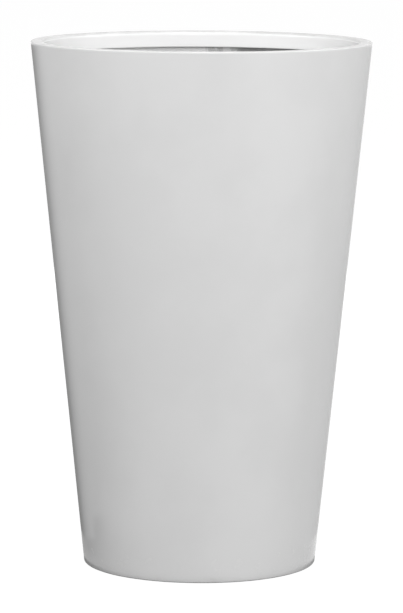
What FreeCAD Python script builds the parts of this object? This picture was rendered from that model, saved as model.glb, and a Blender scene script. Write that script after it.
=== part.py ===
"""Tall tapered fibreglass planter, empty, with a plugged drain hole.

Millimetres, +Z up. The origin is on the ground, under the middle of the foot.

The pot is a thin laminate cone. A turned-in flange closes its foot to a standing ring, a floor
pan is bonded in just above that ring, and a return rim caps the open top.
"""
import math
import os

import FreeCAD
import Part

Vector = FreeCAD.Vector
UP = Vector(0, 0, 1)
GROUND_CENTRE = Vector(0, 0, 0)

# ---- Driving sizes ------------------------------------------------------------------------------

# Outline of the whole pot
rim_diameter = 440.0          # outside, across the top of the rim
foot_diameter = 302.0         # outside, where the straight side would meet the foot's underside
height = 680.0                # the moulding, from the underside of its foot to the top of its rim

# Shell laminate
wall_thickness = 5.0          # square to the sloping side
foot_flange_width = 30.0      # the standing ring, from the outside of the wall inwards
foot_flange_thickness = 6.0
foot_edge_radius = 1.8        # outside bottom edge
foot_cove_radius = 2.5        # inside corner, wall to flange
flange_edge_radius = 1.5      # inner edge of the standing ring

# Return rim
rim_width = 16.0              # flat top and both rounded edges together
rim_skin = 4.0                # thickness of the rim moulding
rim_lip_depth = 21.5          # top of the rim to the bottom of the inner lip
rim_outer_radius = 1.5
rim_inner_radius = 4.5
rim_lip_edge_radius = 1.4
rim_cove_radius = 1.5         # inside corner, top to lip
core_corner_radius = 2.0
filler_bead = 2.6             # filler under the lip, from the lip's inner face outwards
filler_drop = 16.0            # filler that runs down on to the wall below the lip
filler_belly = 2.2            # its thickness half-way down
filler_feather = 0.8          # its thickness at the lower edge
filler_cove_radius = 8.0
filler_bead_radius = 0.6

# Floor pan
floor_height = 34.0           # ground to the flat border of the floor
floor_fall = 3.0              # drop from that border to the drain
pan_thickness = 5.0
pan_border_width = 40.0       # flat border, from the wall inwards
pan_shoulder_radius = 3.0     # outside top corner
pan_skirt_radius = 3.0        # outside bottom corner, larger than the shell's cove
pan_skirt_edge_radius = 1.0
pan_inside_radius = 6.0       # inside corner, plate to skirt
drain_bore_diameter = 25.0
drain_seat_diameter = 48.0    # flat round the drain, under the plug's flange
drain_boss_thickness = 4.0    # extra laminate under the plate
drain_boss_edge_radius = 1.5

# Bonding laminate in the corner between floor and wall
tabbing_thickness = 2.5
tabbing_reach = 34.0          # along the floor, from the wall
tabbing_rise = 36.0           # up the wall, from the floor
tabbing_cove_radius = 14.0
tabbing_feather_radius = 1.8  # its two free edges are feathered

# Rubber drain plug
plug_flange_diameter = 38.0
plug_flange_thickness = 3.0
plug_flange_edge_radius = 1.2
plug_seat_edge_radius = 0.6
plug_lead_length = 6.0        # tapered nose below the floor's boss
plug_lead_taper = 1.5         # drop in radius along that nose
plug_nose_radius = 1.0
plug_wall = 3.5               # rubber round the moulded hollow
plug_hollow_corner_radius = 2.0
grip_width = 24.0
grip_height = 18.0            # above the flange
grip_stem_thickness = 4.4
grip_bead_thickness = 8.0
grip_bead_height = 7.0
grip_foot_radius = 3.0
grip_neck_radius = 0.8
grip_bead_lower_radius = 1.4
grip_bead_upper_radius = 3.5
grip_corner_radius = 7.0

# Rubber foot pads
pad_diameter = 22.0
pad_thickness = 3.0
pad_proud = 1.0               # stands the foot off the ground, so that water can run out
pad_edge_radius = 0.5
PAD_ANGLES = {                # seen from above, counted from +X; the front is -Y
    "foot_pad_back_right": 45.0,
    "foot_pad_back_left": 135.0,
    "foot_pad_front_left": 225.0,
    "foot_pad_front_right": 315.0,
}

# Clearances
bond_line = 0.3               # resin between bonded curved faces, and round each pad
plug_clearance = 0.05         # radial, shank in bore

# ---- Places worked out from those sizes ---------------------------------------------------------

rim_radius = rim_diameter / 2
foot_radius = foot_diameter / 2
foot_level = pad_proud
flange_top = foot_level + foot_flange_thickness
rim_level = foot_level + height
seam_level = rim_level - rim_skin               # shell's top edge, under the rim moulding
lip_bottom = rim_level - rim_lip_depth
lip_inner_radius = rim_radius - rim_width
lip_outer_radius = lip_inner_radius + rim_skin
side_slope = (rim_radius - foot_radius) / height
level_wall_thickness = wall_thickness * math.hypot(1, side_slope)
flange_inner_radius = foot_radius - foot_flange_width

drain_bore_radius = drain_bore_diameter / 2
drain_seat_radius = drain_seat_diameter / 2
drain_level = floor_height - floor_fall
boss_bottom = drain_level - pan_thickness - drain_boss_thickness


def outside_at(level):
    """Radius of the pot's sloping outer face at a level."""
    return foot_radius + side_slope * (level - foot_level)


def inside_at(level):
    """Radius of the pot's sloping inner face at a level."""
    return outside_at(level) - level_wall_thickness


def bonded_at(level):
    """Radius of a face bonded to the inside of the wall at a level."""
    return inside_at(level) - bond_line


# ---- Outlines -----------------------------------------------------------------------------------

def corner_arc(before, corner, after, radius):
    """Start, middle and end of the arc that rounds one corner of an outline."""
    back = (before - corner).normalize()
    ahead = (after - corner).normalize()
    half_angle = back.getAngle(ahead) / 2
    setback = radius / math.tan(half_angle)
    towards_centre = (back + ahead).normalize()
    start = corner + back * setback
    middle = corner + towards_centre * (radius / math.sin(half_angle) - radius)
    end = corner + ahead * setback
    return start, middle, end


def outline(corners, place):
    """Closed face through corners given as (across, level) or (across, level, rounding radius).

    place turns across and level into a point in space.
    """
    points = [place(corner[0], corner[1]) for corner in corners]
    stops = []
    for index, corner in enumerate(corners):
        if len(corner) == 3:
            following = points[(index + 1) % len(points)]
            stops.append(corner_arc(points[index - 1], points[index], following, corner[2]))
        else:
            stops.append((points[index],))
    edges = []
    for index, stop in enumerate(stops):
        if len(stop) == 3:
            edges.append(Part.Arc(*stop).toShape())
        following = stops[(index + 1) % len(stops)]
        edges.append(Part.LineSegment(stop[-1], following[0]).toShape())
    return Part.Face(Part.Wire(edges))


def in_xz(across, level):
    return Vector(across, 0, level)


def in_yz(across, level):
    return Vector(0, across, level)


def turned(corners):
    """Solid of revolution about the pot's axis."""
    return outline(corners, in_xz).revolve(GROUND_CENTRE, UP, 360)


# ---- Pieces -------------------------------------------------------------------------------------

def make_outer_shell():
    """The laminate cone and its turned-in standing ring, with a pocket for each foot pad."""
    shell = turned([
        (outside_at(foot_level), foot_level, foot_edge_radius),
        (outside_at(seam_level), seam_level),
        (inside_at(seam_level), seam_level),
        (inside_at(flange_top), flange_top, foot_cove_radius),
        (flange_inner_radius, flange_top, flange_edge_radius),
        (flange_inner_radius, foot_level, flange_edge_radius),
    ])
    pocket_depth = pad_thickness - pad_proud
    for angle in PAD_ANGLES.values():
        pocket = Part.makeCylinder(pad_diameter / 2 + bond_line, foot_level + pocket_depth)
        pocket.translate(pad_centre(angle))
        shell = shell.cut(pocket)
    return shell


def make_rim_collar():
    """The return rim: a flat top over the wall's edge and a lip hanging inside it."""
    return turned([
        (outside_at(seam_level), seam_level),
        (rim_radius, rim_level, rim_outer_radius),
        (lip_inner_radius, rim_level, rim_inner_radius),
        (lip_inner_radius, lip_bottom, rim_lip_edge_radius),
        (lip_outer_radius, lip_bottom, rim_lip_edge_radius),
        (lip_outer_radius, seam_level, rim_cove_radius),
    ])


def make_rim_core():
    """The stiffening hoop behind the rim's lip, which runs out under it on to the wall."""
    core_inner_radius = lip_outer_radius + bond_line
    bead_level = lip_bottom - bond_line
    belly_level = lip_bottom - filler_drop / 2
    filler_bottom = lip_bottom - filler_drop
    return turned([
        (core_inner_radius, bead_level),
        (lip_inner_radius + filler_bead, bead_level, filler_bead_radius),
        (bonded_at(belly_level) - filler_belly, belly_level, filler_cove_radius),
        (bonded_at(filler_bottom) - filler_feather, filler_bottom),
        (bonded_at(filler_bottom), filler_bottom),
        (bonded_at(seam_level), seam_level),
        (core_inner_radius, seam_level, core_corner_radius),
    ])


def make_floor_pan():
    """The floor: a dished plate with a bonding skirt round it and a boss round the drain."""
    border_radius = bonded_at(floor_height) - pan_border_width
    skirt_outer_radius = bonded_at(flange_top)
    plate_underside = floor_height - pan_thickness
    return turned([
        (drain_bore_radius, drain_level),
        (drain_seat_radius, drain_level),
        (border_radius, floor_height),
        (bonded_at(floor_height), floor_height, pan_shoulder_radius),
        (skirt_outer_radius, flange_top, pan_skirt_radius),
        (skirt_outer_radius - pan_thickness, flange_top, pan_skirt_edge_radius),
        (bonded_at(plate_underside) - pan_thickness, plate_underside, pan_inside_radius),
        (border_radius, plate_underside),
        (drain_seat_radius, drain_level - pan_thickness),
        (drain_seat_radius, boss_bottom, drain_boss_edge_radius),
        (drain_bore_radius, boss_bottom),
    ])


def make_floor_tabbing():
    """The ring of laminate that bonds the floor to the wall, coved in the corner."""
    tabbing_top = floor_height + tabbing_rise
    tabbing_face = floor_height + tabbing_thickness
    free_edge_radius = bonded_at(floor_height) - tabbing_reach
    return turned([
        (bonded_at(floor_height), floor_height),
        (bonded_at(tabbing_top), tabbing_top),
        (bonded_at(tabbing_top) - tabbing_thickness, tabbing_top, tabbing_feather_radius),
        (bonded_at(tabbing_face) - tabbing_thickness, tabbing_face, tabbing_cove_radius),
        (free_edge_radius, tabbing_face, tabbing_feather_radius),
        (free_edge_radius, floor_height),
    ])


def make_drain_plug():
    """The rubber bung: a flange on the drain's seat, a hollow shank in the bore and a pull grip."""
    flange_top_level = drain_level + plug_flange_thickness
    shank_radius = drain_bore_radius - plug_clearance
    nose_level = boss_bottom - plug_lead_length
    nose_radius = shank_radius - plug_lead_taper
    hollow_radius = nose_radius - plug_wall
    body = turned([
        (0, flange_top_level),
        (plug_flange_diameter / 2, flange_top_level, plug_flange_edge_radius),
        (plug_flange_diameter / 2, drain_level, plug_seat_edge_radius),
        (shank_radius, drain_level),
        (shank_radius, boss_bottom),
        (nose_radius, nose_level, plug_nose_radius),
        (hollow_radius, nose_level),
        (hollow_radius, drain_level, plug_hollow_corner_radius),
        (0, drain_level),
    ])
    return body.fuse(make_grip(flange_top_level)).removeSplitter()


def make_grip(base_level):
    """The plug's upright tab: a stem flared at its foot under a thicker rounded bead."""
    root_level = base_level - plug_flange_thickness / 2
    top_level = base_level + grip_height
    bead_bottom = top_level - grip_bead_height
    half_stem = grip_stem_thickness / 2
    half_bead = grip_bead_thickness / 2
    half_foot = half_stem + grip_foot_radius + grip_neck_radius
    right_side = [
        (half_foot, root_level),
        (half_foot, base_level),
        (half_stem, base_level, grip_foot_radius),
        (half_stem, bead_bottom, grip_neck_radius),
        (half_bead, bead_bottom, grip_bead_lower_radius),
        (half_bead, top_level, grip_bead_upper_radius),
    ]
    left_side = [(-corner[0], *corner[1:]) for corner in reversed(right_side)]
    across = outline(right_side + left_side, in_yz)
    across.translate(Vector(-grip_width / 2, 0, 0))
    section = across.extrude(Vector(grip_width, 0, 0))
    along = outline([
        (-grip_width / 2, root_level),
        (grip_width / 2, root_level),
        (grip_width / 2, top_level, grip_corner_radius),
        (-grip_width / 2, top_level, grip_corner_radius),
    ], in_xz)
    along.translate(Vector(0, -half_foot, 0))
    return section.common(along.extrude(Vector(0, 2 * half_foot, 0)))


def pad_centre(angle):
    """Ground point under a pad, in the middle of the standing ring."""
    ring_radius = (flange_inner_radius + foot_radius) / 2
    turn = math.radians(angle)
    return Vector(ring_radius * math.cos(turn), ring_radius * math.sin(turn), 0)


def make_foot_pad(angle):
    """One rubber pad, bonded up into its pocket in the standing ring."""
    pad = turned([
        (0, 0),
        (pad_diameter / 2, 0, pad_edge_radius),
        (pad_diameter / 2, pad_thickness),
        (0, pad_thickness),
    ])
    pad.translate(pad_centre(angle))
    return pad


# ---- Build --------------------------------------------------------------------------------------

pieces = {
    "outer_shell": make_outer_shell(),
    "rim_collar": make_rim_collar(),
    "rim_core": make_rim_core(),
    "floor_pan": make_floor_pan(),
    "floor_tabbing": make_floor_tabbing(),
    "drain_plug": make_drain_plug(),
}
for pad_name, pad_angle in PAD_ANGLES.items():
    pieces[pad_name] = make_foot_pad(pad_angle)

os.makedirs("parts", exist_ok=True)
for name, piece in pieces.items():
    solid = piece.Solids[0] if len(piece.Solids) == 1 else piece
    print(f"{name}: {len(piece.Solids)} solid, {solid.Volume / 1000:.1f} cm3, valid {solid.isValid()}")
    solid.exportStep(f"parts/{name}.step")
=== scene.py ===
import bmesh
import bpy
import math
from mathutils import Euler, Matrix, Vector, noise


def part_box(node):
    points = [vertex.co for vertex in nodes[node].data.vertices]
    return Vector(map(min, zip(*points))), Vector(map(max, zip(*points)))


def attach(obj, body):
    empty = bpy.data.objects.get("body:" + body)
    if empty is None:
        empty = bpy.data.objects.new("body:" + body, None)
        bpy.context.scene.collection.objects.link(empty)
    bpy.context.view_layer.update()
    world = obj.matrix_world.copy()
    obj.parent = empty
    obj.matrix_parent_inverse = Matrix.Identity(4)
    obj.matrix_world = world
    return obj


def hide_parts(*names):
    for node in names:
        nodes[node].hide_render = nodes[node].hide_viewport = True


# Tall tapered planter: glossy white lacquer outside, raw grey fibreglass inside.
# Metres, +Z up, the front of the pot is towards -Y.

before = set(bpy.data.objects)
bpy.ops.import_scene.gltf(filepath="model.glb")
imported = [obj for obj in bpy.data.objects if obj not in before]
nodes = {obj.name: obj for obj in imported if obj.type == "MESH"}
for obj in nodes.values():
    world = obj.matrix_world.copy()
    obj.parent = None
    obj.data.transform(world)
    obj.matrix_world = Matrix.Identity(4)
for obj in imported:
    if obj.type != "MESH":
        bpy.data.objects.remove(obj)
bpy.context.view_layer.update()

sides = 384          # segments round the pot, the same on every turned piece
cornerSteps = 6      # segments across a rounded corner
sharpAngle = 40      # degrees, edges that turn more than this stay crisp
touching = 0.0005    # metres, a vertex this close to a face counts as on it
merging = 0.00001    # metres, vertices closer than this are one
levelNormal = 0.7    # a face whose normal rises more than this is mapped from above
unrolledAt = 0.19    # radius at which the wall is laid out flat
finer = 2.0          # how much finer each octave of noise is than the last


def nodeBox(name):
    low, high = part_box(name)
    return Vector(low), Vector(high)


# sizes read from the frame, and the few that its boxes don't show

shellLow, shellHigh = nodeBox("outer_shell")
rimLow, rimHigh = nodeBox("rim_collar")
coreLow = nodeBox("rim_core")[0]
panLow, panHigh = nodeBox("floor_pan")
tabHigh = nodeBox("floor_tabbing")[1]

pot = {
    "rimRadius": 0.220,
    "footRadius": 0.151,
    "wall": 0.005,
    "bondLine": 0.0003,
    "footLevel": shellLow.z,
    "seam": shellHigh.z,
    "top": rimHigh.z,
    "lipBottom": rimLow.z,
    "coreBottom": coreLow.z,
    "flangeWidth": 0.030,
    "flangeTop": panLow.z,
    "floor": panHigh.z,
    "tabTop": tabHigh.z,
}
slope = (pot["rimRadius"] - pot["footRadius"]) / (pot["top"] - pot["footLevel"])
levelWall = pot["wall"] * math.hypot(1, slope)


def outsideAt(level):
    return pot["footRadius"] + slope * (level - pot["footLevel"])


def insideAt(level):
    return outsideAt(level) - levelWall


def bondedAt(level):
    return insideAt(level) - pot["bondLine"]


# shader maths: a wire is one socket that takes part in Python arithmetic

class Wire:
    def __init__(self, tree, socket=None):
        self.tree = tree
        self.socket = socket

    def node(self, kind, settings, sockets, output=0):
        made = self.tree.nodes.new(kind)
        for key, value in settings.items():
            setattr(made, key, value)
        for key, value in sockets.items():
            if isinstance(value, Wire):
                self.tree.links.new(value.socket, made.inputs[key])
            else:
                made.inputs[key].default_value = value
        return Wire(self.tree, made.outputs[output])

    def maths(self, operation, *values):
        return self.node("ShaderNodeMath", {"operation": operation}, dict(enumerate(values)))

    def __add__(self, other):
        return self.maths("ADD", self, other)

    def __sub__(self, other):
        return self.maths("SUBTRACT", self, other)

    def __rsub__(self, other):
        return self.maths("SUBTRACT", other, self)

    def __mul__(self, other):
        return self.maths("MULTIPLY", self, other)

    __radd__ = __add__
    __rmul__ = __mul__

    def larger(self, other):
        return self.maths("MAXIMUM", self, other)

    def between(self, low, high):  # 0 below low, 1 above high, eased
        return self.node("ShaderNodeMapRange", {"interpolation_type": "SMOOTHSTEP"},
                         {"Value": self, "From Min": low, "From Max": high})

    def mixed(self, first, second):  # this wire is the factor between two colours
        return self.node("ShaderNodeMix", {"data_type": "RGBA"},
                         {0: self, 6: first, 7: second}, output=2)  # the colour sockets

    def part(self, axis):
        return self.node("ShaderNodeSeparateXYZ", {}, {"Vector": self}, output=axis)

    def turned(self, angle, scale, shift=(0, 0, 0)):
        return self.node("ShaderNodeMapping", {"vector_type": "POINT"},
                         {"Vector": self, "Rotation": (0, 0, angle), "Scale": scale,
                          "Location": shift})


def newMaterial(name):
    material = bpy.data.materials.new(name)
    material.use_nodes = True
    tree = material.node_tree
    return material, tree, tree.nodes["Principled BSDF"], Wire(tree)


def objectPlace(start):
    return start.node("ShaderNodeTexCoord", {}, {}, output="Object")


def noiseOf(start, place, size, detail=2.0, rough=0.5):  # size is the pattern's scale in metres
    return start.node("ShaderNodeTexNoise", {"noise_dimensions": "3D"},
                      {"Vector": place, "Scale": 1 / size, "Detail": detail, "Roughness": rough})


def bumped(start, height, distance, strength=1.0, under=None):
    sockets = {"Height": height, "Distance": distance, "Strength": strength}
    if under:
        sockets["Normal"] = under
    return start.node("ShaderNodeBump", {}, sockets)


def grey(value, warm=0.0):
    return (value * (1 + warm), value, value * (1 - warm), 1)


lacquer = {
    "white": 0.80,
    "shade": 0.775,          # slow uneven build of the lacquer
    "cloudSize": 0.11,
    "cloudRange": (0.35, 0.65),
    "cloudGloss": 0.12,      # how much it varies the roughness
    "dust": 0.57,            # dust settled on the flat of the rim, and painted shade there that keeps its lit top below white
    "dustSize": 0.03,
    "dustRange": (-0.2, 0.7),
    "dustShadeTilt": (0.1, 0.8),  # how far up a face looks before dust and painted shade darken it
    "dullTilt": (0.05, 0.4),
    "dustDull": 0.2,         # roughness that it adds
    "dustCoat": 0.8,         # share of the coat that it takes away
    "scuff": 0.60,           # rubbed places just above the foot
    "scuffCover": 0.35,
    "scuffHeight": 0.05,
    "scuffSize": 0.02,
    "scuffRange": (0.5, 0.75),
    "scuffDull": 0.2,
    "speck": 0.55,
    "speckCover": 0.10,
    "speckSize": 0.0016,
    "speckRange": (0.70, 0.76),
    "roughness": 0.24,
    "specular": 0.35,
    "coat": 0.45,
    "coatRoughness": 0.09,
    "peel": 0.0035,          # orange peel, metres across
    "peelHeight": 0.000006,
    "wave": 0.085,           # long waves of the laminate under the lacquer
    "waveHeight": 0.00025,
}


def makeLacquer():
    material, tree, shader, start = newMaterial("white_lacquer")
    place = objectPlace(start)
    cloud = noiseOf(start, place, lacquer["cloudSize"], detail=3.0)
    grains = noiseOf(start, place, lacquer["speckSize"], detail=1.0)
    specks = grains.between(*lacquer["speckRange"])
    low = 1 - place.part(2).between(0.0, lacquer["scuffHeight"])
    rubs = noiseOf(start, place, lacquer["scuffSize"], detail=4.0, rough=0.7)
    scuff = low * rubs.between(*lacquer["scuffRange"])
    build = cloud.between(*lacquer["cloudRange"])
    tone = build.mixed(grey(lacquer["shade"]), grey(lacquer["white"]))
    rubbed = (scuff * lacquer["scuffCover"]).mixed(tone, grey(lacquer["scuff"], warm=0.01))
    dotted = (specks * lacquer["speckCover"]).mixed(rubbed, grey(lacquer["speck"]))
    upward = start.node("ShaderNodeNewGeometry", {}, {}, output="Normal").part(2)
    # faces that look up are darkened: partly settled dust, partly painted shade on the rim's top,
    # which the lamps light most
    dust = noiseOf(start, place, lacquer["dustSize"], detail=3.0).between(*lacquer["dustRange"])
    dustAndShade = upward.between(*lacquer["dustShadeTilt"]) * dust
    dustedAndShaded = dustAndShade.mixed(dotted, grey(lacquer["dust"], warm=0.005))
    tree.links.new(dustedAndShaded.socket, shader.inputs["Base Color"])
    dulled = upward.between(*lacquer["dullTilt"])
    uneven = (cloud - 0.5) * lacquer["cloudGloss"]
    matt = scuff * lacquer["scuffDull"] + dulled * lacquer["dustDull"]
    gloss = lacquer["roughness"] + uneven + matt
    tree.links.new(gloss.socket, shader.inputs["Roughness"])
    shader.inputs["Specular IOR Level"].default_value = lacquer["specular"]
    coat = lacquer["coat"] * (1 - dulled * lacquer["dustCoat"])
    tree.links.new(coat.socket, shader.inputs["Coat Weight"])
    shader.inputs["Coat Roughness"].default_value = lacquer["coatRoughness"]
    wave = noiseOf(start, place, lacquer["wave"], detail=1.0)
    slow = bumped(start, wave, lacquer["waveHeight"])
    peel = noiseOf(start, place, lacquer["peel"], detail=1.0)
    fine = bumped(start, peel, lacquer["peelHeight"], under=slow)
    tree.links.new(fine.socket, shader.inputs["Normal"])
    return material


laminate = {
    "resin": 0.38,           # bare resin between the strands
    "cloudy": 0.46,          # the same where it is thin
    "glass": 0.56,           # strands that lie at the surface
    "rich": 0.25,            # dark pools of thick resin
    "poolSize": 0.030,
    "poolRange": (0.46, 0.66),
    "poolCover": 0.7,
    "poolGloss": 0.24,       # a pool is smoother than the rest, a strand is rougher
    "strandGloss": 0.12,
    "mottleSize": 0.009,
    "mottleRange": (0.3, 0.7),
    "mottleCover": 0.5,
    "strandLength": 0.034,
    "strandWidth": 0.0016,
    "strandEdge": (0.15, 0.5),
    "strandGap": 0.45,       # share of the strands that are left out
    "strandFaint": 0.5,      # strength of the faintest strand
    "strandCover": 0.75,
    "strandDrowned": 0.65,   # how far a pool hides the strands in colour, and in relief
    "reliefDrowned": 0.5,
    "layers": 7,             # directions in which strands lie
    "fan": 0.37,             # keeps those directions from repeating evenly, radians
    "shift": (3.7, 1.9),     # sets each layer's pattern apart from the last
    "curl": 0.004,           # how far a strand bends aside
    "curlScale": 28.0,
    "strandHeight": 0.00035,
    "lumpSize": 0.014,
    "lumpHeight": 0.0009,
    "roughness": 0.52,
}

mistAndPaintedLight = {                # pale drift on the wall under the rim: partly lacquer that drifted over the rim, partly painted light that lifts the wall out of the lip's shadow
    "white": 0.74,
    "cover": 0.92,
    "faint": 0.12,           # cover outside the pale sector
    "reach": 0.055,          # how far down it goes
    "full": 0.012,           # and how far down it is still full
    "start": (0.02, 0.04),   # the sector's edges, radians from the back towards the right
    "end": (-2.5, -1.9),
    "strip": (0.21, 0.26),   # far edge of the overlap beside it, white only on its high spots
    "stripCover": 0.8,
    "blotRange": (0.42, 0.54),
    "bareAndShade": 0.23,            # dark resin right of the overlap, with painted shade where the rim shades that side of the wall
    "bareShadeCover": 0.85,
    "bareShadeStart": (0.19, 0.27),
    "bareShadeEnd": (0.9, 1.4),
    "ragged": 0.05,          # unevenness of the sector's edges, radians
    "raggedSize": 0.012,
    "sway": 0.016,           # unevenness of its lower edge, metres
    "blotSize": 0.011,
}


def strandLayer(start, flat, index):
    angle = math.pi * index / laminate["layers"] + laminate["fan"] * index
    scale = (1 / laminate["strandLength"], 1 / laminate["strandWidth"], 1)
    along, across = laminate["shift"]
    shift = (along * index, across * index, 0)
    lane = flat.turned(angle, (1, 1, 1)).turned(0, scale, shift)
    cells = {"voronoi_dimensions": "2D", "feature": "F1"}
    sockets = {"Vector": lane, "Scale": 1.0, "Randomness": 1.0}
    reach = start.node("ShaderNodeTexVoronoi", cells, sockets, output="Distance")
    tint = start.node("ShaderNodeTexVoronoi", cells, sockets, output="Color")
    chosen = start.maths("GREATER_THAN", tint.part(0), laminate["strandGap"])
    body = 1 - reach.between(*laminate["strandEdge"])
    faint = laminate["strandFaint"]
    return body * chosen * (faint + (1 - faint) * tint.part(1))


def paintMistAndLight(start, place, mottle, fibrous):
    # pale drift on one side of the wall, overspray and painted light, a blotched overlap beside
    # it, then dark resin with painted shade
    turn = start.maths("ARCTAN2", place.part(0), place.part(1))
    fray = noiseOf(start, place, mistAndPaintedLight["raggedSize"], detail=3.0, rough=0.6) - 0.5
    ragged = turn + fray * mistAndPaintedLight["ragged"]
    drift = place.part(2) + (mottle - 0.5) * mistAndPaintedLight["sway"]
    under = pot["lipBottom"]
    depth = drift.between(under - mistAndPaintedLight["reach"], under - mistAndPaintedLight["full"])
    left = 1 - ragged.between(*mistAndPaintedLight["start"])
    sector = left * ragged.between(*mistAndPaintedLight["end"])
    strip = (1 - left) * (1 - ragged.between(*mistAndPaintedLight["strip"]))
    blots = noiseOf(start, place, mistAndPaintedLight["blotSize"]).between(*mistAndPaintedLight["blotRange"])
    bareAndShade = ragged.between(*mistAndPaintedLight["bareShadeStart"]) * (1 - ragged.between(*mistAndPaintedLight["bareShadeEnd"]))
    cover = sector.larger(strip * blots * mistAndPaintedLight["stripCover"]).larger(mistAndPaintedLight["faint"])
    # painted shade: the right of the back wall is darkened as bare resin
    resin = (bareAndShade * depth * mistAndPaintedLight["bareShadeCover"]).mixed(fibrous, grey(mistAndPaintedLight["bareAndShade"]))
    # painted light: the pale drift whitens the wall just under the lip, where the lip shades it
    return (cover * (1 - bareAndShade) * depth * mistAndPaintedLight["cover"]).mixed(resin, grey(mistAndPaintedLight["white"]))


def makeLaminate(name, mistAndLight=False):
    material, tree, shader, start = newMaterial(name)
    place = objectPlace(start)
    surface = start.node("ShaderNodeTexCoord", {}, {}, output="UV")
    sockets = {"Vector": place, "Scale": laminate["curlScale"], "Detail": 1.0}
    bend = start.node("ShaderNodeTexNoise", {"noise_dimensions": "3D"}, sockets, output="Color")
    aside = (laminate["curl"], laminate["curl"], 0)
    nudge = start.node("ShaderNodeVectorMath", {"operation": "MULTIPLY_ADD"},
                       {0: bend, 1: aside, 2: surface})
    mat = strandLayer(start, nudge, 0)
    for index in range(1, laminate["layers"]):
        mat = mat.larger(strandLayer(start, nudge, index))
    wet = noiseOf(start, place, laminate["poolSize"], detail=4.0, rough=0.6)
    pools = wet.between(*laminate["poolRange"])
    mottle = noiseOf(start, place, laminate["mottleSize"], detail=3.0, rough=0.6)
    strands = mat * (1 - laminate["strandDrowned"] * pools)
    thin = mottle.between(*laminate["mottleRange"]) * laminate["mottleCover"]
    base = thin.mixed(grey(laminate["resin"]), grey(laminate["cloudy"]))
    pooled = (pools * laminate["poolCover"]).mixed(base, grey(laminate["rich"]))
    fibrous = (strands * laminate["strandCover"]).mixed(pooled, grey(laminate["glass"]))
    # the wall's pale drift and dark resin are partly overspray and resin, partly painted light and
    # painted shade
    if mistAndLight:
        fibrous = paintMistAndLight(start, place, mottle, fibrous)
    tree.links.new(fibrous.socket, shader.inputs["Base Color"])
    rough = strands * laminate["strandGloss"]
    gloss = laminate["roughness"] + rough - pools * laminate["poolGloss"]
    tree.links.new(gloss.socket, shader.inputs["Roughness"])
    lumps = noiseOf(start, place, laminate["lumpSize"], detail=3.0, rough=0.55)
    low = bumped(start, lumps, laminate["lumpHeight"])
    relief = mat * (1 - laminate["reliefDrowned"] * pools)
    high = bumped(start, relief, laminate["strandHeight"], under=low)
    tree.links.new(high.socket, shader.inputs["Normal"])
    return material


rubber = {
    "black": 0.028,
    "dust": 0.10,
    "dustSize": 0.006,
    "dustRange": (0.45, 0.8),
    "dustCover": 0.5,
    "dustDull": 0.2,         # roughness that it adds
    "roughness": 0.62,
    "grain": 0.0006,
    "grainHeight": 0.00004,
}


def makeRubber():
    material, tree, shader, start = newMaterial("black_rubber")
    place = objectPlace(start)
    dust = noiseOf(start, place, rubber["dustSize"], detail=4.0, rough=0.6)
    bloom = dust.between(*rubber["dustRange"])
    dusty = grey(rubber["dust"], warm=0.02)
    tone = (bloom * rubber["dustCover"]).mixed(grey(rubber["black"]), dusty)
    tree.links.new(tone.socket, shader.inputs["Base Color"])
    gloss = rubber["roughness"] + bloom * rubber["dustDull"]
    tree.links.new(gloss.socket, shader.inputs["Roughness"])
    grain = bumped(start, noiseOf(start, place, rubber["grain"]), rubber["grainHeight"])
    tree.links.new(grain.socket, shader.inputs["Normal"])
    return material


print("materials")
whiteLacquer = makeLacquer()
rawWall = makeLaminate("raw_wall", mistAndLight=True)
rawLaminate = makeLaminate("raw_laminate")
blackRubber = makeRubber()


def roundCorner(bm, place, radius):  # a corner of a wire outline becomes an arc
    corner = min(bm.verts, key=lambda vert: (vert.co - place).length)
    first, second = (edge.other_vert(corner).co - corner.co for edge in corner.link_edges)
    setback = radius / math.tan(first.angle(second) / 2)
    bmesh.ops.bevel(bm, geom=[corner], offset=setback, offset_type="OFFSET", segments=cornerSteps,
                    profile=0.5, affect="VERTICES", material=-1)


def edgeThrough(bm, place):  # the straight edge that a point lies on
    def detour(edge):
        first, second = edge.verts
        return (first.co - place).length + (second.co - place).length - edge.calc_length()
    return min(bm.edges, key=detour)


def turnedMesh(corners, rings):
    # corners are (radius, level) or (radius, level, rounding), and rings says how many cuts go
    # across a stretch of the outline, by the number of the corner where it starts
    bm = bmesh.new()
    places = [Vector((corner[0], 0, corner[1])) for corner in corners]
    verts = [bm.verts.new(place) for place in places]
    for index, vert in enumerate(verts):
        bm.edges.new((verts[index - 1], vert))
    for place, corner in zip(places, corners):
        if len(corner) == 3:
            roundCorner(bm, place, corner[2])
    for index, cuts in rings.items():
        middle = (places[index] + places[(index + 1) % len(places)]) / 2
        bmesh.ops.subdivide_edges(bm, edges=[edgeThrough(bm, middle)], cuts=cuts)
    eighth = math.pi / 4
    bmesh.ops.spin(bm, geom=bm.verts[:] + bm.edges[:], cent=(0, 0, 0), axis=(0, 0, 1),
                   angle=eighth, steps=sides // 8)
    for turn in (eighth, 2 * eighth, 4 * eighth):  # doubled three times to a full turn
        copied = bmesh.ops.duplicate(bm, geom=bm.verts[:] + bm.edges[:] + bm.faces[:])["geom"]
        verts = [item for item in copied if isinstance(item, bmesh.types.BMVert)]
        bmesh.ops.rotate(bm, verts=verts, cent=(0, 0, 0), matrix=Matrix.Rotation(turn, 3, "Z"))
    bmesh.ops.remove_doubles(bm, verts=bm.verts, dist=merging)
    bmesh.ops.recalc_face_normals(bm, faces=bm.faces)
    bm.normal_update()
    return bm


def angleOf(place):
    return math.atan2(place.y, place.x)


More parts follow.
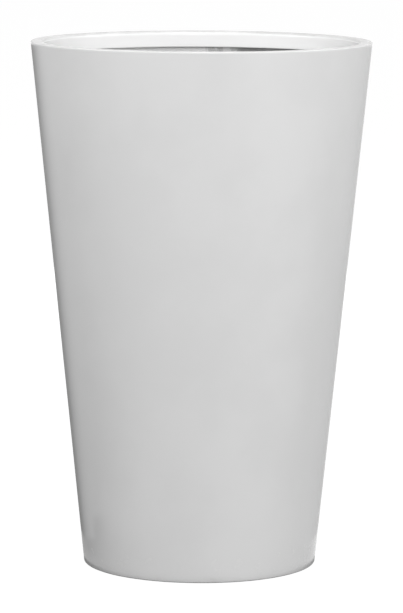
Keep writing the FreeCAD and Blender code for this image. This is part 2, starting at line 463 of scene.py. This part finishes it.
def flatPattern(bm):
    # lays the surface out flat in metres: round the pot and up it, or seen from above
    layer = bm.loops.layers.uv.new("flat")
    for face in bm.faces:
        start = angleOf(face.calc_center_median())
        level = abs(face.normal.z) > levelNormal
        for loop in face.loops:
            place = loop.vert.co
            if level:
                loop[layer].uv = (place.x, place.y)
            else:
                turn = math.remainder(angleOf(place) - start, 2 * math.pi) + start
                loop[layer].uv = (turn * unrolledAt, place.z)


def finishPiece(name, bm, materials, body, replaced):
    mesh = bpy.data.meshes.new(name)
    bm.to_mesh(mesh)
    bm.free()
    for polygon in mesh.polygons:
        polygon.use_smooth = True
    mesh.set_sharp_from_angle(angle=math.radians(sharpAngle))
    for material in materials:
        mesh.materials.append(material)
    piece = bpy.data.objects.new(name, mesh)
    bpy.context.scene.collection.objects.link(piece)
    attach(piece, body)
    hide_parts(*replaced)
    print(name, len(mesh.polygons), "faces")


def eased(value, low, high):
    share = min(max((value - low) / (high - low), 0), 1)
    return share * share * (3 - 2 * share)


handLay = {
    "sway": 0.0007,          # slow unevenness of the laminate, metres
    "swaySize": 0.080,
    "lump": 0.00035,
    "lumpSize": 0.016,
    "bandRise": 0.0009,      # doubled mat where two lengths overlap
    "bandWidth": 0.043,
    "bandAngles": (1.453, 2.62, 3.93, 5.06, 0.22),
    "bandEdge": 0.0015,      # half the width over which a band's edge rises
    "fray": 0.0022,
    "fraySize": 0.012,
    "course": 0.335,         # level of the joint between two courses of mat
    "courseWidth": 0.030,
    "courseEdge": 0.002,
    "courseWander": 0.012,
    "wanderTurns": 1.3,
    "wanderRow": 4.1,
    "lapRise": 0.0007,
}


def crumpled(place, fading, octaves):  # noise with finer noise on it, which fades as it gets finer
    return noise.fractal(place, fading, finer, octaves)


def laidRelief(place):
    sway = noise.noise(place / handLay["swaySize"]) * handLay["sway"]
    lumps = crumpled(place / handLay["lumpSize"], fading=1.0, octaves=3)
    return sway + lumps * handLay["lump"]


def bandRelief(place):
    # overlaps of the mat on the wall: upright bands, and one lap that runs round the pot
    reach = math.hypot(place.x, place.y)
    turn = angleOf(place)
    ragged = noise.noise(place / handLay["fraySize"]) * handLay["fray"]
    half, edge = handLay["bandWidth"] / 2, handLay["bandEdge"]
    rise = 0.0
    for angle in handLay["bandAngles"]:
        away = abs(math.remainder(turn - angle, 2 * math.pi)) * reach
        rise = max(rise, 1 - eased(away + ragged, half - edge, half + edge))
    course = Vector((turn * handLay["wanderTurns"], handLay["wanderRow"], 0))
    wander = noise.noise(course) * handLay["courseWander"]
    off = abs(place.z - handLay["course"] - wander) + ragged
    half, edge = handLay["courseWidth"] / 2, handLay["courseEdge"]
    lap = 1 - eased(off, half - edge, half + edge)
    return rise * handLay["bandRise"] + lap * handLay["lapRise"]


shellShape = {
    "edge": 0.0018,
    "cove": 0.0025,
    "flangeEdge": 0.0015,
    "outerRings": 60,
    "innerRings": 150,
    "flangeRings": 4,
    "ringBands": 24,
    "outerWave": 0.00012,
    "waveSize": 0.11,
    "waveMargin": 0.01,      # the wall is true this close to its seam and its foot
    "reliefMargin": 0.004,
    "reliefFade": 0.010,
    "padSides": 64,
    "rawDepth": 0.002,       # faces within this of the inside are raw laminate
    "whiteRise": 0.001,      # but not the underside
}


def cutPockets(bm, low, inner, outer):
    # the flat underside of the standing ring is laid anew, with a round pocket for each pad
    def onFlat(face):
        middle = face.calc_center_median()
        reach = math.hypot(middle.x, middle.y)
        return middle.z < low + merging and inner < reach < outer
    flat = [face for face in bm.faces if onFlat(face)]
    bmesh.ops.delete(bm, geom=flat, context="FACES")
    circles = [edge for edge in bm.edges if edge.is_boundary]
    mouths = []
    for name in nodes:
        if name.startswith("foot_pad"):
            padLow, padHigh = nodeBox(name)
            middle = (padLow + padHigh) / 2
            place = Matrix.Translation((middle.x, middle.y, low))
            radius = (padHigh.x - padLow.x) / 2 + pot["bondLine"]
            made = bmesh.ops.create_circle(bm, segments=shellShape["padSides"], radius=radius,
                                           matrix=place)
            mouths += [edge for vert in made["verts"] for edge in vert.link_edges]
    mouths = list(dict.fromkeys(mouths))  # each edge once, always in the same order
    bmesh.ops.triangle_fill(bm, use_beauty=True, edges=circles + mouths, normal=(0, 0, -1))
    raised = bmesh.ops.extrude_edge_only(bm, edges=mouths)["geom"]
    verts = [item for item in raised if isinstance(item, bmesh.types.BMVert)]
    bmesh.ops.translate(bm, verts=verts, vec=(0, 0, padHigh.z - low))
    tops = [item for item in raised if isinstance(item, bmesh.types.BMEdge)]
    bmesh.ops.edgeloop_fill(bm, edges=tops)
    bmesh.ops.recalc_face_normals(bm, faces=bm.faces)


def makeShell():
    low, seam, flange = pot["footLevel"], pot["seam"], pot["flangeTop"]
    inner = pot["footRadius"] - pot["flangeWidth"]
    corners = [
        (outsideAt(low), low, shellShape["edge"]),
        (outsideAt(seam), seam),
        (insideAt(seam), seam),
        (insideAt(flange), flange, shellShape["cove"]),
        (inner, flange, shellShape["flangeEdge"]),
        (inner, low, shellShape["flangeEdge"]),
    ]
    bm = turnedMesh(corners, {0: shellShape["outerRings"], 2: shellShape["innerRings"],
                              3: shellShape["flangeRings"], 5: shellShape["ringBands"]})
    flat = inner + shellShape["flangeEdge"], pot["footRadius"] - shellShape["edge"]
    band = (flat[1] - flat[0]) / (shellShape["ringBands"] + 1)
    cutPockets(bm, low, flat[0] + band, flat[1] - band)
    margin = shellShape["waveMargin"]
    moves = []
    for vert in bm.verts:
        place = vert.co
        reach = math.hypot(place.x, place.y)
        clear = place.z > flange + shellShape["reliefMargin"]
        if clear and reach < insideAt(place.z) + touching:
            rise = laidRelief(place) + bandRelief(place)
            fade = eased(seam - place.z, 0.0, shellShape["reliefFade"])
            moves.append((vert, vert.normal * rise * fade))
        elif low + margin < place.z < seam - margin and reach > outsideAt(place.z) - touching:
            wave = noise.noise(place / shellShape["waveSize"]) * shellShape["outerWave"]
            moves.append((vert, vert.normal * wave))
    for vert, move in moves:
        vert.co += move
    flatPattern(bm)
    for face in bm.faces:
        middle = face.calc_center_median()
        reach = math.hypot(middle.x, middle.y)
        raised = middle.z > low + shellShape["whiteRise"]
        raw = raised and reach < insideAt(middle.z) + shellShape["rawDepth"]
        face.material_index = 1 if raw else 0
    finishPiece("planter_shell", bm, [whiteLacquer, rawWall], "planter", ["outer_shell"])


rimShape = {
    "width": 0.016,
    "skin": 0.004,
    "outer": 0.0015,
    "inner": 0.0045,
    "lipEdge": 0.0014,
    "cove": 0.0015,
    "wave": 0.00015,
    "waveSize": 0.05,
    "waveMargin": 0.001,     # the outer edge is true
    "rings": {1: 6, 2: 6, 4: 3},  # cuts across the stretches of the outline
}


def makeRim():
    top, seam, lip = pot["top"], pot["seam"], pot["lipBottom"]
    inner = pot["rimRadius"] - rimShape["width"]
    corners = [
        (outsideAt(seam), seam),
        (pot["rimRadius"], top, rimShape["outer"]),
        (inner, top, rimShape["inner"]),
        (inner, lip, rimShape["lipEdge"]),
        (inner + rimShape["skin"], lip, rimShape["lipEdge"]),
        (inner + rimShape["skin"], seam, rimShape["cove"]),
    ]
    bm = turnedMesh(corners, rimShape["rings"])
    trueFrom = pot["rimRadius"] - rimShape["outer"] - rimShape["waveMargin"]
    for vert in bm.verts:
        place = vert.co
        if math.hypot(place.x, place.y) < trueFrom:
            wave = noise.noise(place / rimShape["waveSize"]) * rimShape["wave"]
            vert.co += vert.normal * wave
    flatPattern(bm)
    finishPiece("return_rim", bm, [whiteLacquer], "planter", ["rim_collar"])


coreShape = {
    "corner": 0.002,
    "bead": 0.0026,
    "beadRadius": 0.0006,
    "belly": 0.0022,
    "feather": 0.0008,
    "cove": 0.008,
    "ragged": 0.0025,
    "raggedSize": 0.02,
    "reliefFade": 0.006,
    "bonded": 0.0002,        # the side on the wall stays true
    "rings": {1: 4, 2: 5},
}


def makeCore():
    # filler behind the lip, which runs out under it and down on to the wall in a hollow
    seam, lip, low = pot["seam"], pot["lipBottom"], pot["coreBottom"]
    lipFace = pot["rimRadius"] - rimShape["width"]
    inner = lipFace + rimShape["skin"] + pot["bondLine"]
    belly = (lip + low) / 2
    corners = [
        (inner, lip),
        (lipFace + coreShape["bead"], lip, coreShape["beadRadius"]),
        (bondedAt(belly) - coreShape["belly"], belly, coreShape["cove"]),
        (bondedAt(low) - coreShape["feather"], low),
        (bondedAt(low), low),
        (bondedAt(seam), seam),
        (inner, seam, coreShape["corner"]),
    ]
    bm = turnedMesh(corners, coreShape["rings"])
    for vert in bm.verts:
        place = vert.co
        reach = math.hypot(place.x, place.y)
        if place.z < lip - touching and reach < bondedAt(place.z) - coreShape["bonded"]:
            fade = eased(lip - place.z, 0, coreShape["reliefFade"])
            vert.co += vert.normal * laidRelief(place) * fade
            fray = crumpled(place / coreShape["raggedSize"], fading=0.8, octaves=3)
            vert.co.z += fray * coreShape["ragged"] * eased(belly - place.z, 0, belly - low)
    flatPattern(bm)
    finishPiece("rim_filler", bm, [rawWall], "planter", ["rim_core"])


panShape = {
    "thickness": 0.005,
    "border": 0.040,         # flat edge round the dish
    "fall": 0.003,
    "seat": 0.024,
    "bore": 0.0125,
    "boss": 0.004,
    "bossEdge": 0.0015,
    "shoulder": 0.003,       # roundings from here on
    "skirt": 0.003,
    "skirtEdge": 0.001,
    "inside": 0.006,
    "seatFade": 0.006,       # the seat and the border stay flat
    "borderFade": 0.008,
    "bossFlat": 0.001,
    "rings": {0: 3, 1: 26, 2: 6, 3: 4, 5: 4, 6: 6, 7: 16, 9: 3},
}


def makePan():
    floor, foot = pot["floor"], pot["flangeTop"]
    thickness = panShape["thickness"]
    under = floor - thickness
    drain = floor - panShape["fall"]
    border = bondedAt(floor) - panShape["border"]
    bossLow = drain - thickness - panShape["boss"]
    corners = [
        (panShape["bore"], drain),
        (panShape["seat"], drain),
        (border, floor),
        (bondedAt(floor), floor, panShape["shoulder"]),
        (bondedAt(foot), foot, panShape["skirt"]),
        (bondedAt(foot) - thickness, foot, panShape["skirtEdge"]),
        (bondedAt(under) - thickness, under, panShape["inside"]),
        (border, under),
        (panShape["seat"], drain - thickness),
        (panShape["seat"], bossLow, panShape["bossEdge"]),
        (panShape["bore"], bossLow),
    ]
    bm = turnedMesh(corners, panShape["rings"])
    for vert in bm.verts:
        place = vert.co
        reach = math.hypot(place.x, place.y)
        clear = eased(reach, panShape["seat"], panShape["seat"] + panShape["seatFade"])
        inner = 1 - eased(reach, border, border + panShape["borderFade"])
        if place.z > drain - touching:
            vert.co += vert.normal * laidRelief(place) * clear * inner
        elif place.z > bossLow + panShape["bossFlat"] and reach < border:
            vert.co += vert.normal * laidRelief(place) * clear
    flatPattern(bm)
    finishPiece("floor_plate", bm, [rawLaminate], "planter", ["floor_pan"])


tabShape = {
    "thickness": 0.0025,
    "reach": 0.034,
    "cove": 0.014,
    "feather": 0.0018,
    "ragged": 0.004,
    "raggedTurns": 14,
    "raggedFrom": 0.008,     # height above the mat's face at which the upper edge starts to fray
    "relief": 0.6,           # the mat is smoother than the wall
    "reliefScale": 1.3,
    "bonded": 0.001,         # the sides on the wall and the floor stay true
    "rings": {2: 8, 3: 8, 5: 2},
}


def makeTabbing():
    floor = pot["floor"]
    top, face = pot["tabTop"], floor + tabShape["thickness"]
    free = bondedAt(floor) - tabShape["reach"]
    corners = [
        (bondedAt(floor), floor),
        (bondedAt(top), top),
        (bondedAt(top) - tabShape["thickness"], top, tabShape["feather"]),
        (bondedAt(face) - tabShape["thickness"], face, tabShape["cove"]),
        (free, face, tabShape["feather"]),
        (free, floor),
    ]
    bm = turnedMesh(corners, tabShape["rings"])
    middle = (bondedAt(floor) + free) / 2
    for vert in bm.verts:
        place = vert.co
        reach = math.hypot(place.x, place.y)
        turn = Vector((place.x, place.y, 0)).normalized()
        frayed = crumpled(turn * tabShape["raggedTurns"], fading=0.8, octaves=4)
        fray = frayed * tabShape["ragged"]
        if reach < middle:
            share = eased(middle - reach, 0, middle - free)
            vert.co -= turn * fray * share
        elif place.z > face + tabShape["raggedFrom"]:
            share = eased(place.z, face + tabShape["raggedFrom"], top)
            drop = abs(fray) * share
            vert.co.z -= drop
            vert.co -= turn * slope * drop
        bonded = tabShape["bonded"]
        if place.z > floor + bonded and reach < bondedAt(place.z) - bonded:
            relief = laidRelief(place * tabShape["reliefScale"]) * tabShape["relief"]
            vert.co += vert.normal * relief
    flatPattern(bm)
    finishPiece("corner_mat", bm, [rawLaminate], "planter", ["floor_tabbing"])


makeShell()
makeRim()
makeCore()
makePan()
makeTabbing()

for name in nodes:
    if name == "drain_plug" or name.startswith("foot_pad"):
        for holder in nodes[name].material_slots:
            holder.material = blackRubber
print("rubber plug and pads")

stage = {
    "floorReach": 14,
    "floorGrey": 0.12,
    "floorGlow": 1.98,       # makes up for the floor's own share, so that the floor is white
    "floorShare": 0.5,       # how much of the floor's own light and shadow the camera sees
    "lampTarget": 0.38,      # height that the softboxes face
    "mouthLampRadius": 0.03,
}


def seenDirectly(start):  # 1 for the camera, reflections and glass, 0 for light that bounces
    path = {"kind": "ShaderNodeLightPath", "settings": {}, "sockets": {}}
    camera = start.node(**path, output="Is Camera Ray")
    glossy = start.node(**path, output="Is Glossy Ray")
    through = start.node(**path, output="Is Transmission Ray")
    return camera.larger(glossy).larger(through)


def makeFloor():
    bm = bmesh.new()
    bmesh.ops.create_grid(bm, x_segments=1, y_segments=1, size=stage["floorReach"])
    mesh = bpy.data.meshes.new("floor")
    bm.to_mesh(mesh)
    bm.free()
    floor = bpy.data.objects.new("floor", mesh)
    bpy.context.scene.collection.objects.link(floor)
    material, tree, shader, start = newMaterial("pale_floor")
    tree.nodes.remove(shader)
    plain = start.node("ShaderNodeBsdfDiffuse", {}, {"Color": grey(stage["floorGrey"])})
    glow = start.node("ShaderNodeEmission", {}, {"Strength": stage["floorGlow"]})
    seen = seenDirectly(start) * (1 - stage["floorShare"])
    both = start.node("ShaderNodeMixShader", {}, {0: seen, 1: plain, 2: glow})
    tree.links.new(both.socket, tree.nodes["Material Output"].inputs["Surface"])
    mesh.materials.append(material)


def makeWorld():
    world = bpy.data.worlds.new("studio")
    world.use_nodes = True
    tree = world.node_tree
    start = Wire(tree)
    seen = seenDirectly(start)
    sky = start.node("ShaderNodeBackground", {}, {"Color": grey(1.0), "Strength": seen})
    tree.links.new(sky.socket, tree.nodes["World Output"].inputs["Surface"])
    bpy.context.scene.world = world


lights = {  # direction from the front towards +X, height angle, distance, side of the softbox
    "key_softbox": {"turn": 6, "rise": 42, "away": 10.0, "size": 4.0, "power": 925},
    "front_softbox": {"turn": 5, "rise": 50, "away": 1.8, "size": 0.9, "power": 5.4},
    "left_softbox": {"turn": -85, "rise": 38, "away": 1.15, "size": 0.8, "power": 3.6},
    "right_softbox": {"turn": 100, "rise": 38, "away": 1.15, "size": 0.8, "power": 1.9},
    "left_fill": {"turn": -75, "rise": 20, "away": 6.0, "size": 2.5, "power": 32},
    "right_fill": {"turn": 84, "rise": 20, "away": 6.0, "size": 2.5, "power": 91},
    "back_softbox": {"turn": 180, "rise": 6, "away": 3.0, "size": 1.5, "power": 55},
}

mouthLamps = {  # small lamps that the rim hides, for the lip, the laminate and the floor
    "right_mouth_lamp": {"place": (0.10, 0.02, 0.655), "power": 0.08},
    "left_mouth_lamp": {"place": (-0.12, 0.0, 0.655), "power": 0.01},
    "deep_lamp": {"place": (0.0, 0.0, 0.34), "power": 0.33},
}


def makeMouthLamps():
    for name, facts in mouthLamps.items():
        lamp = bpy.data.lights.new(name, "POINT")
        lamp.shadow_soft_size = stage["mouthLampRadius"]
        lamp.energy = facts["power"]
        holder = bpy.data.objects.new(name, lamp)
        holder.location = facts["place"]
        holder.visible_camera = False
        holder.visible_glossy = False
        bpy.context.scene.collection.objects.link(holder)


def makeLights():
    target = Vector((0, 0, stage["lampTarget"]))
    for name, facts in lights.items():
        lamp = bpy.data.lights.new(name, "AREA")
        lamp.size = facts["size"]
        lamp.energy = facts["power"]
        holder = bpy.data.objects.new(name, lamp)
        turn, rise = math.radians(facts["turn"]), math.radians(facts["rise"])
        level = facts["away"] * math.cos(rise)
        holder.location = target + Vector((math.sin(turn) * level, -math.cos(turn) * level,
                                           facts["away"] * math.sin(rise)))
        holder.rotation_euler = (target - holder.location).to_track_quat("-Z", "Y").to_euler()
        holder.visible_camera = False
        holder.visible_glossy = name != "back_softbox"  # that one only lights the back
        bpy.context.scene.collection.objects.link(holder)


flags = {  # dark boards that show only in the lacquer, as thin dark lines inside both edges
    "left_flag": {"near": (-0.25, 0.0), "far": (-0.12, 0.40), "side": -1, "grey": 0.22},
    "right_flag": {"near": (0.25, 0.0), "far": (0.12, 0.40), "side": 1, "grey": 0.72},
}

flagBoard = {
    "height": 0.66,
    "foot": 0.001,
    "fade": (0.0, 0.12),     # they darken between these places behind the pot's middle
}

footShade = {                # a disc on the floor, which shows in the foot and just above it
    "radius": 0.35,
    "sides": 96,
    "level": 0.0005,
    "grey": 0.22,
    "underPot": (0.158, 0.160),  # radii between which it goes from dark to white
    "leftSide": (-0.10, 0.0),    # it is dark behind the pot's left side too
    "behind": (-0.12, 0.06),
    "behindShare": 0.65,
}


def stageBoard(name, bm, colour):  # only reflections see it
    mesh = bpy.data.meshes.new(name)
    bm.to_mesh(mesh)
    bm.free()
    material, tree, shader, start = newMaterial(name)
    tree.nodes.remove(shader)
    glow = start.node("ShaderNodeEmission", {}, {"Color": colour(start)})
    tree.links.new(glow.socket, tree.nodes["Material Output"].inputs["Surface"])
    mesh.materials.append(material)
    board = bpy.data.objects.new(name, mesh)
    board.visible_camera = False
    board.visible_diffuse = False
    board.visible_shadow = False
    board.visible_transmission = False
    bpy.context.scene.collection.objects.link(board)


def makeFlags():
    height = flagBoard["height"]
    for name, facts in flags.items():
        bm = bmesh.new()
        ends = [bm.verts.new((*facts[end], flagBoard["foot"])) for end in ("near", "far")]
        edge = bm.edges.new(ends)
        pulled = bmesh.ops.extrude_edge_only(bm, edges=[edge])["geom"]
        moved = [item for item in pulled if isinstance(item, bmesh.types.BMVert)]
        lean = facts["side"] * slope * height
        bmesh.ops.translate(bm, verts=moved, vec=(lean, 0, height))

        def darkening(start):
            dark = objectPlace(start).part(1).between(*flagBoard["fade"])
            return dark.mixed(grey(1.0), grey(facts["grey"]))
        stageBoard(name, bm, darkening)


def makeFootShade():
    bm = bmesh.new()
    place = Matrix.Translation((0, 0, footShade["level"]))
    bmesh.ops.create_circle(bm, cap_ends=True, segments=footShade["sides"],
                            radius=footShade["radius"], matrix=place)

    def shading(start):
        place = objectPlace(start)
        across, back = place.part(0), place.part(1)
        reach = start.maths("SQRT", across * across + back * back)
        under = 1 - reach.between(*footShade["underPot"])
        left = 1 - across.between(*footShade["leftSide"])
        behind = left * back.between(*footShade["behind"]) * footShade["behindShare"]
        return under.larger(behind).mixed(grey(1.0), grey(footShade["grey"]))
    stageBoard("foot_shade", bm, shading)


view = {                     # from a fit of the camera to the pot's edges
    "place": (0, -4.706, 0.980),
    "pitch": 82.204,         # degrees
    "yaw": 0.0003,           # radians, as roll is
    "roll": 0.0046,
    "focalPixels": 3653,
    "frameHeight": 613,
    "sensor": 36.0,
    "clipEnd": 100,
}


def makeCamera():
    camera = bpy.data.cameras.new("camera")
    camera.sensor_fit = "VERTICAL"
    camera.sensor_height = view["sensor"]
    camera.lens = view["focalPixels"] * view["sensor"] / view["frameHeight"]
    camera.clip_end = view["clipEnd"]
    holder = bpy.data.objects.new("camera", camera)
    tilt = Euler((math.radians(view["pitch"]), 0, -view["yaw"])).to_matrix()
    roll = Matrix.Rotation(view["roll"], 3, "Z")
    holder.rotation_euler = (tilt @ roll).to_euler()
    holder.location = view["place"]
    bpy.context.scene.collection.objects.link(holder)
    bpy.context.scene.camera = holder


makeFloor()
makeWorld()
makeLights()
makeMouthLamps()
makeFlags()
makeFootShade()
makeCamera()
bpy.context.scene.view_settings.view_transform = "Standard"
print("stage, lights and camera")
